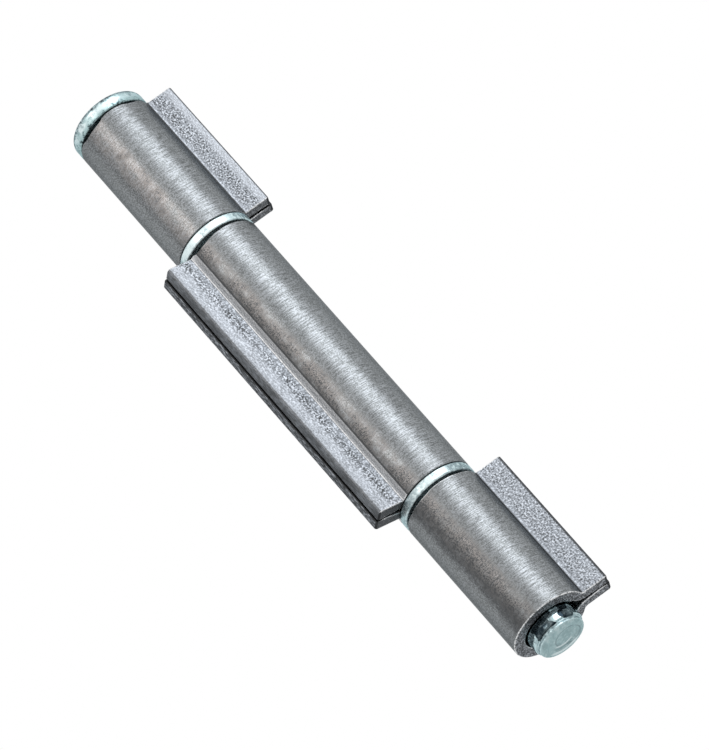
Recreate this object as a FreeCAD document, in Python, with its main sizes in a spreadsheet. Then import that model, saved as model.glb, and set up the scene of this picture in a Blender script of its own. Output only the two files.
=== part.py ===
"""Three-part weld-on hinge: three rolled sheet leaves, a headed pin and two washers.

The pin's axis is Z, with the head at the top, and the origin is on that axis, halfway up the whole
hinge. The outer leaves have their wings along +X. The middle leaf's wing points the other way and
is turned a little towards -Y, the side that is seen from the front. Lengths are in millimetres.
"""
import FreeCAD, Part
import math
import os
import Sketcher

SIZES = [
    ("pin_diameter", 13.0, "shank of the pin"),
    ("pin_clearance", 0.5, "radial play of the pin in the leaves"),
    ("sheet_thickness", 3.0, "strip that the leaves are rolled from"),
    ("leg_gap", 0.3, "slit between the two legs of a wing"),
    ("bend_radius", 1.4, "outside radius where a leg leaves the barrel"),
    ("wing_width", 6.3, "from the barrel's surface to the edge of the wing"),
    ("edge_rounding", 0.8, "long outer edges of the wing"),
    ("corner_radius", 0.4, "corners of the wing, seen from the front"),
    ("end_chamfer", 0.25, "edges of a leaf's two ends"),
    ("outer_leaf_length", 40.5, "upper and lower leaf, along the pin"),
    ("middle_leaf_length", 84.0, "middle leaf, along the pin"),
    ("middle_leaf_turn", 20.0, "degrees that the middle wing is turned from flat"),
    ("washer_width", 3.2, "from the washer's hole to its rim"),
    ("washer_thickness", 2.4, "along the pin"),
    ("washer_clearance", 0.3, "radial play of the washer on the pin"),
    ("washer_chamfer", 0.4, "edges of the washer's rim"),
    ("seat_gap", 0.1, "between a washer and the leaf above it"),
    ("end_play", 0.7, "between a washer and the leaf below it"),
    ("head_overhang", 3.5, "from the shank to the rim of the head"),
    ("head_thickness", 3.8, "along the pin"),
    ("head_gap", 0.3, "between the head and the upper leaf"),
    ("head_rounding", 1.2, "upper edge of the head"),
    ("head_lower_rounding", 0.5, "lower edge of the head"),
    ("pin_overhang", 4.5, "free end of the pin below the lower leaf"),
    ("tip_diameter", 12.3, "disc below the neck, at the pin's free end"),
    ("tip_chamfer", 0.4, "edge of the pin's free end"),
    ("neck_height", 1.1, "from the pin's end to the middle of its neck"),
    ("neck_width", 0.4, "along the pin"),
    ("neck_depth", 0.5, "below the surface of the shank"),
    ("recess_diameter", 8.2, "shallow round recess in the pin's end"),
    ("recess_depth", 0.2, "along the pin"),
]

PIN_RADIUS = "Sizes.pin_diameter / 2"
BORE_RADIUS = f"({PIN_RADIUS} + Sizes.pin_clearance)"
BARREL_RADIUS = f"({BORE_RADIUS} + Sizes.sheet_thickness)"
HALF_GAP = "Sizes.leg_gap / 2"
HALF_WING = f"({HALF_GAP} + Sizes.sheet_thickness)"
WING_REACH = f"({BARREL_RADIUS} + Sizes.wing_width)"
WASHER_BORE_RADIUS = f"({PIN_RADIUS} + Sizes.washer_clearance)"
WASHER_RADIUS = f"({WASHER_BORE_RADIUS} + Sizes.washer_width)"
HEAD_RADIUS = f"({PIN_RADIUS} + Sizes.head_overhang)"
WASHER_SPACE = "(Sizes.seat_gap + Sizes.washer_thickness + Sizes.end_play)"
TOTAL_LENGTH = ("(Sizes.pin_overhang + 2 * Sizes.outer_leaf_length + Sizes.middle_leaf_length"
                f" + 2 * {WASHER_SPACE} + Sizes.head_gap + Sizes.head_thickness)")

BASE_Z = f"(-{TOTAL_LENGTH} / 2)"
LOWER_LEAF_Z = f"({BASE_Z} + Sizes.pin_overhang)"
LOWER_WASHER_Z = f"({LOWER_LEAF_Z} + Sizes.outer_leaf_length + Sizes.end_play)"
MIDDLE_LEAF_Z = f"({LOWER_WASHER_Z} + Sizes.washer_thickness + Sizes.seat_gap)"
UPPER_WASHER_Z = f"({MIDDLE_LEAF_Z} + Sizes.middle_leaf_length + Sizes.end_play)"
UPPER_LEAF_Z = f"({UPPER_WASHER_Z} + Sizes.washer_thickness + Sizes.seat_gap)"
SHANK_LENGTH = f"({TOTAL_LENGTH} - Sizes.head_thickness)"

doc = FreeCAD.newDocument("weld_on_hinge")
SKETCH_ORIGIN = (-1, 1)
X_AXIS = -1
START, END, CENTRE = range(1, 4)
ON_PLANE = 1e-6


def make_sheet():
    """The spreadsheet of driving sizes, with what each one is."""
    sheet = doc.addObject("Spreadsheet::Sheet", "Sizes")
    for row, (alias, value, meaning) in enumerate(SIZES, start=1):
        sheet.set(f"A{row}", alias.replace("_", " "))
        sheet.set(f"B{row}", str(value))
        sheet.set(f"C{row}", meaning)
        sheet.setAlias(f"B{row}", alias)
    doc.recompute()
    return sheet


sheet = make_sheet()


def value(expression):
    """What an expression over the sheet's sizes comes to now."""
    return float(sheet.evalExpression(expression))


def plane(body, role):
    """One of the body's own base planes."""
    return next(item for item in body.Origin.OriginFeatures if item.Role == role)


def make_sketch(body, name, role):
    """An empty sketch on one of the body's base planes."""
    sketch = body.newObject("Sketcher::SketchObject", name)
    sketch.AttachmentSupport = [(plane(body, role), "")]
    sketch.MapMode = "FlatFace"
    return sketch


def vector(x, y):
    return FreeCAD.Vector(x, y, 0)


def line(start, end):
    return Part.LineSegment(vector(*start), vector(*end))


def arc(centre, radius, start, end):
    """Arc about a centre, anticlockwise from one point to the other."""
    begin = math.atan2(start[1] - centre[1], start[0] - centre[0])
    finish = math.atan2(end[1] - centre[1], end[0] - centre[0])
    circle = Part.Circle(vector(*centre), FreeCAD.Vector(0, 0, 1), radius)
    return Part.ArcOfCircle(circle, begin, finish)


def bind(sketch, kind, *where, to):
    """A dimension of the sketch that follows an expression."""
    index = sketch.addConstraint(Sketcher.Constraint(kind, *where, value(to)))
    sketch.setExpression(f"Constraints[{index}]", to)


def join(sketch, kind, first, second):
    """Joins two ends, as Coincident or as Tangent."""
    sketch.addConstraint(Sketcher.Constraint(kind, *first, *second))


def draw_leaf_profile(sketch):
    """Upper half of the rolled profile: the barrel wall, the bend and one leg.

    The strip keeps its thickness all the way. The bend's two arcs share a centre outside the
    barrel, so that the outer one touches the barrel and the inner one touches the bore.
    """
    bore, barrel = value(BORE_RADIUS), value(BARREL_RADIUS)
    low, high = value(HALF_GAP), value(HALF_WING)
    reach, bend = value(WING_REACH), value("Sizes.bend_radius")
    rounding = value("Sizes.edge_rounding")
    centre_y = high + bend
    centre_x = math.sqrt((barrel + bend) ** 2 - centre_y ** 2)
    centre = (centre_x, centre_y)
    share = (centre_x / (barrel + bend), centre_y / (barrel + bend))
    bore_end = (bore * share[0], bore * share[1])
    barrel_end = (barrel * share[0], barrel * share[1])
    tip_centre = (reach - rounding, high - rounding)

    wall = sketch.addGeometry(line((-barrel, 0), (-bore, 0)))
    bore_arc = sketch.addGeometry(arc((0, 0), bore, bore_end, (-bore, 0)))
    inner_bend = sketch.addGeometry(arc(centre, bend + high - low, bore_end, (centre_x, low)))
    inner_leg = sketch.addGeometry(line((centre_x, low), (reach, low)))
    tip = sketch.addGeometry(line((reach, low), (reach, high - rounding)))
    tip_arc = sketch.addGeometry(arc(tip_centre, rounding, (reach, high - rounding),
                                     (reach - rounding, high)))
    outer_leg = sketch.addGeometry(line((reach - rounding, high), (centre_x, high)))
    outer_bend = sketch.addGeometry(arc(centre, bend, barrel_end, (centre_x, high)))
    barrel_arc = sketch.addGeometry(arc((0, 0), barrel, barrel_end, (-barrel, 0)))

    join(sketch, "Coincident", (wall, END), (bore_arc, END))
    join(sketch, "Tangent", (bore_arc, START), (inner_bend, START))
    join(sketch, "Tangent", (inner_bend, END), (inner_leg, START))
    join(sketch, "Coincident", (inner_leg, END), (tip, START))
    join(sketch, "Tangent", (tip, END), (tip_arc, START))
    join(sketch, "Tangent", (tip_arc, END), (outer_leg, START))
    join(sketch, "Tangent", (outer_leg, END), (outer_bend, END))
    join(sketch, "Tangent", (outer_bend, START), (barrel_arc, START))
    join(sketch, "Coincident", (barrel_arc, END), (wall, START))
    join(sketch, "Coincident", (bore_arc, CENTRE), SKETCH_ORIGIN)
    join(sketch, "Coincident", (barrel_arc, CENTRE), SKETCH_ORIGIN)
    for end in (START, END):
        sketch.addConstraint(Sketcher.Constraint("PointOnObject", wall, end, X_AXIS))
    for leg in (inner_leg, outer_leg):
        sketch.addConstraint(Sketcher.Constraint("Horizontal", leg))
    sketch.addConstraint(Sketcher.Constraint("Vertical", tip))
    bind(sketch, "Radius", bore_arc, to=BORE_RADIUS)
    bind(sketch, "Radius", barrel_arc, to=BARREL_RADIUS)
    bind(sketch, "Radius", outer_bend, to="Sizes.bend_radius")
    bind(sketch, "Radius", inner_bend, to="Sizes.bend_radius + Sizes.sheet_thickness")
    bind(sketch, "Radius", tip_arc, to="Sizes.edge_rounding")
    bind(sketch, "DistanceY", *SKETCH_ORIGIN, inner_leg, END, to=HALF_GAP)
    bind(sketch, "DistanceY", *SKETCH_ORIGIN, outer_leg, END, to=HALF_WING)
    bind(sketch, "DistanceX", *SKETCH_ORIGIN, tip, START, to=WING_REACH)


def draw_corner(sketch, end_z, inward):
    """What is cut off a wing's corner at one end: a block with a quarter circle taken out of it.

    The sketch lies in the wing's plane, with Z upwards, and inward is +1 at the lower end and -1
    at the upper one.
    """
    sign = "+" if inward > 0 else "-"
    centre_x = f"({WING_REACH} - Sizes.corner_radius)"
    centre_z = f"({end_z} {sign} Sizes.corner_radius)"
    outer_x = f"({WING_REACH} + Sizes.corner_radius)"
    outer_z = f"({end_z} {'-' if inward > 0 else '+'} Sizes.corner_radius)"
    radius = value("Sizes.corner_radius")
    centre = (value(centre_x), value(centre_z))
    below = (centre[0], value(end_z))
    beside = (value(WING_REACH), centre[1])
    if inward > 0:
        rounded = sketch.addGeometry(arc(centre, radius, below, beside))
        below_end, beside_end = START, END
    else:
        rounded = sketch.addGeometry(arc(centre, radius, beside, below))
        below_end, beside_end = END, START
    corner = (value(outer_x), value(outer_z))
    path = [beside, (corner[0], beside[1]), corner, (below[0], corner[1]), below]
    lines = [sketch.addGeometry(line(first, second)) for first, second in zip(path, path[1:])]
    across, down, back, up = lines
    for first, second in zip(lines, lines[1:]):
        join(sketch, "Coincident", (first, END), (second, START))
    join(sketch, "Coincident", (rounded, beside_end), (across, START))
    join(sketch, "Coincident", (rounded, below_end), (up, END))
    for kind, item in (("Horizontal", across), ("Vertical", down), ("Horizontal", back)):
        sketch.addConstraint(Sketcher.Constraint(kind, item))
    sketch.addConstraint(Sketcher.Constraint("Vertical", up))
    join(sketch, "Horizontal", (rounded, beside_end), (rounded, CENTRE))
    join(sketch, "Vertical", (rounded, below_end), (rounded, CENTRE))
    bind(sketch, "Radius", rounded, to="Sizes.corner_radius")
    bind(sketch, "DistanceX", *SKETCH_ORIGIN, rounded, CENTRE, to=centre_x)
    bind(sketch, "DistanceY", *SKETCH_ORIGIN, rounded, CENTRE, to=centre_z)
    bind(sketch, "DistanceX", *SKETCH_ORIGIN, down, END, to=outer_x)
    bind(sketch, "DistanceY", *SKETCH_ORIGIN, down, END, to=outer_z)


def ends_of(shape, length):
    """Names of the edges that lie in a leaf's two end faces."""
    names = []
    for number, edge in enumerate(shape.Edges, start=1):
        box = edge.BoundBox
        at_bottom = abs(box.ZMin) < ON_PLANE and abs(box.ZMax) < ON_PLANE
        at_top = abs(box.ZMin - length) < ON_PLANE and abs(box.ZMax - length) < ON_PLANE
        if at_bottom or at_top:
            names.append(f"Edge{number}")
    return names


def edges_at(shape, radius, height):
    """Names of the round edges of one radius about the axis at one height."""
    names = []
    for number, edge in enumerate(shape.Edges, start=1):
        curve = edge.Curve
        if isinstance(curve, Part.Circle):
            same_height = abs(curve.Center.z - height) < ON_PLANE
            if same_height and abs(curve.Radius - radius) < ON_PLANE:
                names.append(f"Edge{number}")
    return names


def make_leaf(label, length, base_z, turn):
    """One rolled leaf: half profile, mirrored, with rounded wing corners and broken end edges."""
    name = label.title().replace("_", "")
    body = doc.addObject("PartDesign::Body", name)
    body.Label = label
    profile = make_sketch(body, name + "Profile", "XY_Plane")
    draw_leaf_profile(profile)
    pad = body.newObject("PartDesign::Pad", name + "Half")
    pad.Profile = profile
    pad.setExpression("Length", length)
    doc.recompute()
    mirrored = body.newObject("PartDesign::Mirrored", name + "Rolled")
    mirrored.Originals = [pad]
    mirrored.MirrorPlane = (plane(body, "XZ_Plane"), [""])
    body.Tip = mirrored
    doc.recompute()
    chamfer = body.newObject("PartDesign::Chamfer", name + "Ends")
    chamfer.Base = (mirrored, ends_of(mirrored.Shape, value(length)))
    chamfer.setExpression("Size", "Sizes.end_chamfer")
    doc.recompute()
    corners = make_sketch(body, name + "CornerOutline", "XZ_Plane")
    draw_corner(corners, "0", 1)
    draw_corner(corners, length, -1)
    rounding = body.newObject("PartDesign::Pocket", name + "Corners")
    rounding.Profile = corners
    rounding.Midplane = True
    rounding.setExpression("Length", f"4 * {HALF_WING}")
    body.Tip = rounding
    doc.recompute()
    if rounding.Shape.Volume >= chamfer.Shape.Volume:
        raise RuntimeError(f"{rounding.Label} took nothing off")
    body.setExpression(".Placement.Base.z", base_z)
    body.setExpression(".Placement.Rotation.Angle", turn)
    return body


def make_washer(label, base_z):
    """A flat washer with a bevelled rim."""
    name = label.title().replace("_", "")
    body = doc.addObject("PartDesign::Body", name)
    body.Label = label
    ring = make_sketch(body, name + "Ring", "XY_Plane")
    for radius in (WASHER_RADIUS, WASHER_BORE_RADIUS):
        circle = Part.Circle(vector(0, 0), FreeCAD.Vector(0, 0, 1), value(radius))
        index = ring.addGeometry(circle)
        join(ring, "Coincident", (index, CENTRE), SKETCH_ORIGIN)
        bind(ring, "Radius", index, to=radius)
    pad = body.newObject("PartDesign::Pad", name + "Blank")
    pad.Profile = ring
    pad.setExpression("Length", "Sizes.washer_thickness")
    doc.recompute()
    rim = edges_at(pad.Shape, value(WASHER_RADIUS), 0)
    rim += edges_at(pad.Shape, value(WASHER_RADIUS), value("Sizes.washer_thickness"))
    bevel = body.newObject("PartDesign::Chamfer", name + "Rim")
    bevel.Base = (pad, rim)
    bevel.setExpression("Size", "Sizes.washer_chamfer")
    body.Tip = bevel
    body.setExpression(".Placement.Base.z", base_z)
    doc.recompute()
    return body


def draw_path(sketch, points, dimensions):
    """A closed outline of straight lines; each dimension names a point, an axis and its value."""
    count = len(points)
    lines = [sketch.addGeometry(line(points[i], points[(i + 1) % count])) for i in range(count)]
    for i in range(count):
        join(sketch, "Coincident", (lines[i], END), (lines[(i + 1) % count], START))
        across = points[i][1] == points[(i + 1) % count][1]
        sketch.addConstraint(Sketcher.Constraint("Horizontal" if across else "Vertical", lines[i]))
    for kind, point, to in dimensions:
        bind(sketch, kind, *SKETCH_ORIGIN, lines[point], START, to=to)
    return lines


def make_pin(label):
    """The headed pin: a turned blank with a neck and a recess at its free end."""
    name = label.title()
    body = doc.addObject("PartDesign::Body", name)
    body.Label = label
    tip_radius = "Sizes.tip_diameter / 2"
    neck_radius = f"({PIN_RADIUS} - Sizes.neck_depth)"
    neck_low = "(Sizes.neck_height - Sizes.neck_width / 2)"
    neck_high = "(Sizes.neck_height + Sizes.neck_width / 2)"
    tip, neck, shank, head = [value(radius) for radius in
                              (tip_radius, neck_radius, PIN_RADIUS, HEAD_RADIUS)]
    low, high = value(neck_low), value(neck_high)
    shoulder, top = value(SHANK_LENGTH), value(TOTAL_LENGTH)
    section = make_sketch(body, name + "Section", "XZ_Plane")
    outline = [(0, 0), (tip, 0), (tip, low), (neck, low), (neck, high), (shank, high),
               (shank, shoulder), (head, shoulder), (head, top), (0, top)]
    lines = draw_path(section, outline, [
        ("DistanceX", 1, tip_radius),
        ("DistanceY", 2, neck_low),
        ("DistanceX", 3, neck_radius),
        ("DistanceY", 4, neck_high),
        ("DistanceX", 5, PIN_RADIUS),
        ("DistanceY", 6, SHANK_LENGTH),
        ("DistanceX", 7, HEAD_RADIUS),
        ("DistanceY", 8, TOTAL_LENGTH),
    ])
    join(section, "Coincident", (lines[0], START), SKETCH_ORIGIN)
    blank = body.newObject("PartDesign::Revolution", name + "Blank")
    blank.Profile = section
    blank.ReferenceAxis = (section, ["V_Axis"])
    blank.Angle = 360
    doc.recompute()

    rounded = body.newObject("PartDesign::Fillet", name + "HeadTop")
    rounded.Base = (blank, edges_at(blank.Shape, head, top))
    rounded.setExpression("Radius", "Sizes.head_rounding")
    doc.recompute()
    lower = body.newObject("PartDesign::Fillet", name + "HeadUnder")
    lower.Base = (rounded, edges_at(rounded.Shape, head, shoulder))
    lower.setExpression("Radius", "Sizes.head_lower_rounding")
    doc.recompute()
    broken = body.newObject("PartDesign::Chamfer", name + "Tip")
    broken.Base = (lower, edges_at(lower.Shape, tip, 0))
    broken.setExpression("Size", "Sizes.tip_chamfer")
    body.Tip = broken
    doc.recompute()

    circle = make_sketch(body, name + "RecessOutline", "XY_Plane")
    radius = Part.Circle(vector(0, 0), FreeCAD.Vector(0, 0, 1), value("Sizes.recess_diameter / 2"))
    index = circle.addGeometry(radius)
    join(circle, "Coincident", (index, CENTRE), SKETCH_ORIGIN)
    bind(circle, "Radius", index, to="Sizes.recess_diameter / 2")
    recess = body.newObject("PartDesign::Pocket", name + "Recess")
    recess.Profile = circle
    recess.Reversed = True
    recess.setExpression("Length", "Sizes.recess_depth")
    body.Tip = recess
    body.setExpression(".Placement.Base.z", BASE_Z)
    doc.recompute()
    if recess.Shape.Volume >= broken.Shape.Volume:
        raise RuntimeError(f"{recess.Label} took nothing off")
    return body


def check(bodies):
    """Stops the script if any object failed or any sub-part isn't one valid solid."""
    failed = [item.Name for item in doc.Objects if "Invalid" in item.State or "Error" in item.State]
    if failed:
        raise RuntimeError("failed objects: " + ", ".join(failed))
    for body in bodies:
        shape = body.Shape
        if shape.isNull() or not shape.isValid() or len(shape.Solids) != 1:
            raise RuntimeError(f"{body.Label} is not one valid solid")


def main():
    """Builds the six pieces, checks them and writes one file for each."""
    bodies = [
        make_leaf("upper_leaf", "Sizes.outer_leaf_length", UPPER_LEAF_Z, "0"),
        make_leaf("middle_leaf", "Sizes.middle_leaf_length", MIDDLE_LEAF_Z,
                  "180 + Sizes.middle_leaf_turn"),
        make_leaf("lower_leaf", "Sizes.outer_leaf_length", LOWER_LEAF_Z, "0"),
        make_washer("upper_washer", UPPER_WASHER_Z),
        make_washer("lower_washer", LOWER_WASHER_Z),
        make_pin("pin"),
    ]
    doc.recompute()
    check(bodies)
    os.makedirs("parts", exist_ok=True)
    for body in bodies:
        body.Shape.exportStep(f"parts/{body.Label}.step")
        box = body.Shape.BoundBox
        print(f"{body.Label}: volume {body.Shape.Volume:.1f}, x {box.XMin:.2f} to {box.XMax:.2f},"
              f" y {box.YMin:.2f} to {box.YMax:.2f}, z {box.ZMin:.2f} to {box.ZMax:.2f}")


main()
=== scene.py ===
"""Dresses a three-part weld-on hinge: rolled steel leaves, plated washers and a plated headed pin.

Lengths are in metres. The pin's axis is Z, the outer leaves' wings point along +X, and the hinge is
seen from the -Y side, from a little below.
"""

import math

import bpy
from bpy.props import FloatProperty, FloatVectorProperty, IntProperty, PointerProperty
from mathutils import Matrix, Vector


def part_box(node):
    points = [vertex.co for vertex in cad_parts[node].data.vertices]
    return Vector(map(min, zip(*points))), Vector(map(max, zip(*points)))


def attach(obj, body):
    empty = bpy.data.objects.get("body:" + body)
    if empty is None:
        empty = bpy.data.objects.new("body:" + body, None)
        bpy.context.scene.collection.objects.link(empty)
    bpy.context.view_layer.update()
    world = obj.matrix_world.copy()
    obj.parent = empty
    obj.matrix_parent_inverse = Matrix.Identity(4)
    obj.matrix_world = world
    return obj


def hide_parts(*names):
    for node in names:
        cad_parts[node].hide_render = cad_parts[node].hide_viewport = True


bl_info = {
    "name": "Weld-on hinge",
    "version": (1, 0, 0),
    "blender": (4, 5, 0),
    "location": "3D View > Sidebar > Hinge",
    "description": "Builds a weld-on hinge's rolled leaves, washers and pin, with their studio",
    "category": "Add Mesh",
}

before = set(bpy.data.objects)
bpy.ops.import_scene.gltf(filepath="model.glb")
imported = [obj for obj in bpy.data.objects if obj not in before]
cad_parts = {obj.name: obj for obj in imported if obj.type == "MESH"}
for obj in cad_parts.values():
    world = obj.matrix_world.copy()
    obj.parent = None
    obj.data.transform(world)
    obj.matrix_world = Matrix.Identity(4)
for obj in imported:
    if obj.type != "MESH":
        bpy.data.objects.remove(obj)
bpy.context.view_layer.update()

MM = 0.001
HALF_TURN = math.pi
QUARTER = math.pi / 2
OUTER_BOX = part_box("upper_leaf")
PIN_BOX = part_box("pin")
PIN_END = PIN_BOX[0][2]
HEAD_TOP = PIN_BOX[1][2]
LEAF_TOP = OUTER_BOX[1][2]
BARREL_RADIUS = -OUTER_BOX[0][0]
WING_REACH = OUTER_BOX[1][0]
HEAD_RADIUS = PIN_BOX[1][0]
WASHER_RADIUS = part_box("upper_washer")[1][0]
WASHERS = ("upper_washer", "lower_washer")

# What is each leaf's own: how much dark film is on it, which also sets how strong the painted
# shade on its wing's edge and over its barrel's highlight is, how bright its sheared ends are,
# how deep its upper end dips as a share of the deepest, how far before the bend's centre its
# wing's face starts, and how wide the strip beside the bend is and how bright the painted light
# on the strip and on its ridge is.
LEAF_LOOKS = {
    "upper_leaf": {"Stain": 0.1, "End tone": 0.55, "Dip share": 1.0, "Face lead": 0.42 * MM,
                   "Strip": 0.4 * MM, "Strip light": 0.5, "Ridge light": 0.0},
    "middle_leaf": {"Stain": 0.65, "End tone": 0.2, "Dip share": 1.0, "Face lead": 1.15 * MM,
                    "Strip": 0.75 * MM, "Strip light": 0.75, "Ridge light": 0.3},
    "lower_leaf": {"Stain": 1.0, "End tone": 1.0, "Dip share": 0.3, "Face lead": 0.6 * MM,
                   "Strip": 0.45 * MM, "Strip light": 0.5, "Ridge light": 0.0},
}

# The leaf's rows round an end's edge and past the wing's corner, and how near points are one.
ROUND_ROWS, CORNER_ROWS = 4, 6
DOUBLES = 1e-7
# How far in from its reach the wing's tip faces and corners lie, and how squarely they face out
# or how little along Y.
TIP_ZONE, TIP_CORNER = 2.5 * MM, 0.6 * MM
FACES_OUT, FACES_ASIDE = 0.7, 0.5
# The crease beside the barrel, which gets painted shade, and where the painted highlight on the
# ridge starts within the strip beside the bend.
CREASE_SHADE_WIDTH, RIDGE_SHARE = 0.3 * MM, 0.55
# How far from an end its unevenness goes, and its waves a metre.
UNEVEN_ZONE, UNEVEN_WAVES = 3.0 * MM, 130.0

# What each face of a leaf is marked with. Seven say what kind of face it is: sheared, on the wing,
# in the slit, which gets painted shade, on the strip beside the bend, with the strength of the
# painted light on it, and also on the longer leg's tip, in the crease, which gets painted shade,
# on an end's edge, which gets burrs with painted glints, or on an end. The last two say how
# stained the leaf is and how bright its ends are.
FACE_MARKS = ("cut", "wing", "slit_shade", "plain", "crease", "burr_and_glint", "end", "stain", "tone")

# Tones over half a turn of the barrel, counted from +X and the same on every leaf: painted shade in
# bands, a painted warm reflection, a dark streak, and where the highlights lie, in which marks
# and painted glints show.
BARREL_SHADE_BANDS = [(0.0, 0.5), (0.06, 0.8), (0.11, 0.95), (0.18, 0.84), (0.25, 0.45), (0.31, 0.87),
                (0.38, 1.0), (0.445, 0.94), (0.5, 1.0), (0.62, 1.0), (0.75, 0.96), (0.86, 0.8),
                (1.0, 0.9)]
WARM_REFLECTION_BANDS = [(0.0, 0.05), (0.2, 0.05), (0.26, 0.7), (0.34, 1.0), (0.4, 0.7), (0.45, 0.1),
              (1.0, 0.0)]
DARK_STREAK = [(0.0, 0.1), (0.14, 0.1), (0.2, 0.6), (0.26, 1.0), (0.32, 0.55), (0.38, 0.42),
               (0.44, 0.12), (1.0, 0.0)]
HIGHLIGHT_BANDS = [(0.0, 0.1), (0.2, 0.15), (0.29, 0.55), (0.36, 0.5), (0.42, 0.25), (0.46, 0.65),
                (0.5, 0.85), (0.6, 1.0), (0.7, 0.8), (0.78, 0.2), (1.0, 0.1)]
# Tones over a whole turn: the dips in a leaf's upper end, the tarnish with painted dark reflection
# at the pin's tip, the painted sheen on the plating and the lower washer's film.
END_DIPS = [(0.0, 0.0), (0.06, 0.0), (0.09, 0.8), (0.15, 0.6), (0.25, 0.0), (0.55, 0.0), (0.6, 0.8),
            (0.64, 1.0), (0.69, 0.9), (0.735, 0.1), (0.8, 0.05), (0.83, 0.55), (0.86, 0.55),
            (0.885, 0.0), (1.0, 0.0)]
TIP_TARNISH_AND_REFLECTION = [(0.0, 0.0), (0.4, 0.0), (0.57, 0.0), (0.61, 1.0), (0.725, 1.0), (0.755, 0.0),
               (0.8, 0.0), (0.825, 1.0), (0.86, 1.0), (0.885, 0.0), (1.0, 0.0)]
SHEEN = [(0.0, 0.0), (0.52, 0.0), (0.57, 0.7), (0.62, 1.0), (0.72, 0.9), (0.8, 0.8), (0.84, 0.1),
         (1.0, 0.0)]
WASHER_FILM = [(0.0, 0.0), (0.54, 0.1), (0.58, 0.8), (0.65, 0.9), (0.7, 0.25), (0.74, 0.0),
               (0.79, 0.1), (0.82, 0.6), (0.9, 0.5), (0.95, 0.0), (1.0, 0.0)]

# Each noise: its waves a metre along X, Y and Z, its detail and its roughness.
STEEL_NOISES = {
    "strokes": ((430, 430, 4000), 0.0, 0.5),
    "marks": ((300, 300, 1900), 3.0, 0.6),
    "clouds": ((160, 160, 90), 3.0, 0.5),
    "grains": ((3000, 3000, 3600), 1.0, 0.6),
    "pits": ((2250, 2250, 2250), 1.5, 0.5),
    "patches": ((260, 260, 180), 4.0, 0.65),
    "blotches": ((1000, 1000, 800), 3.0, 0.6),
    "shear": ((2600, 2600, 1600), 2.0, 0.6),
    "drawn": ((3000, 3000, 700), 2.0, 0.6),
}
ZINC_NOISES = {
    "clouds": ((420, 420, 420), 3.0, 0.6),
    "spots": ((1300, 1300, 1300), 2.0, 0.6),
    "shapes": ((230, 230, 420), 2.0, 0.5),
    "swept": ((650, 240, 240), 2.0, 0.6),
}

# Where layers of the steel's colour come in or go out: first heights, then radii.
# Painted shade on the barrel under the pin's head.
SHADE_UNDER_HEAD = (LEAF_TOP - 14 * MM, LEAF_TOP - 1 * MM)
LOW_END = (PIN_END + 5 * MM, PIN_END + 20 * MM)
WING_ROOT = (10.9 * MM, 11.7 * MM)
BY_RIDGE = (12.2 * MM, 14.6 * MM)
WING_RIM = (WING_REACH - 2.3 * MM, WING_REACH - 0.7 * MM)
# Painted shade where the wing's long edge turns away, and a dark painted outline and hairline at
# it.
EDGE_TURN_SHADE = (WING_REACH - 1.5 * MM, WING_REACH - 0.3 * MM)
OUTLINE_SHADE = (WING_REACH - 0.42 * MM, WING_REACH - 0.18 * MM)
HAIRLINE_SHADE = (WING_REACH - 0.13 * MM, WING_REACH - 0.02 * MM)
# How much further in the wing's rim starts on a fully stained leaf.
STAINED_RIM = 2.6 * MM
# Where layers of the plating's colour come in or go out: first heights, then radii.
END_FACE = PIN_END + 0.3 * MM
SHANK_END = (PIN_END + 1.1 * MM, PIN_END + 5.2 * MM)
HEAD_START = HEAD_TOP - 4.0 * MM
HEAD_UNDER = (HEAD_TOP - 3.4 * MM, HEAD_TOP - 2.2 * MM)
# Painted dark reflection along the head's rounded upper edge.
HEAD_EDGE_DARK_REFLECTION = (HEAD_TOP - 1.5 * MM, HEAD_TOP - 0.9 * MM)
RIM_MIDDLE, OFF_MIDDLE = HEAD_TOP - 2.1 * MM, (0.4 * MM, 1.2 * MM)
SHANK_SIDE = 5.9 * MM
PAST_SHANK = (7.5 * MM, 8.5 * MM)
# Marks on the pin's end face: one dark turned ring off the centre, and pale arcs to one side that
# are painted highlights, each with its radius, its half width and how far across the face it
# starts.
RING_CENTRE, RING_RADIUS, RING_HALF = (1.4 * MM, 0.5 * MM), 3.3 * MM, 0.16 * MM
END_HIGHLIGHT_ARCS = ((2.9 * MM, 0.4 * MM, 1.5 * MM), (4.8 * MM, 0.6 * MM, 3.0 * MM))
ARC_FADE = 1.0 * MM
# Heights of the marks round a barrel, of the wing's pits at their least and what roughness adds
# to them, and of the clouds in the plating.
STROKE_DEPTH, PIT_DEPTH, ROUGH_PIT_DEPTH, ZINC_DEPTH = 0.03 * MM, 0.05 * MM, 0.06 * MM, 0.09 * MM
STEEL_TINT, ZINC_TINT = (0.5, 0.52, 0.53), (0.6, 0.7, 0.72)

# The camera's right and up directions, and each lamp's direction, size and colour.
CAMERA_RIGHT = (0.79804, 0.15454, -0.58245)
CAMERA_UP = (0.57451, -0.48678, 0.65801)
LAMP_DISTANCE = 0.8
OVERHEAD = ((0.490, -0.728, 0.480), 0.46, (0.94, 0.965, 1.0))
FROM_LEFT = ((-0.468, -0.742, 0.480), 0.24, (1.0, 0.95, 0.91))
# How strong the world's plain light is, where 1 is white, and half the floor's width.
PLAIN_LIGHT, FLOOR_HALF = 0.85, 4.0


def length(name, description, millimetres):
    """A length in the sidebar, with its default in millimetres."""
    return FloatProperty(name=name, description=description, default=millimetres * MM,
                         unit="LENGTH")


def finish(name, description, *shade):
    """A metal's colour in the sidebar."""
    return FloatVectorProperty(name=name, description=description, default=shade, subtype="COLOR")


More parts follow.
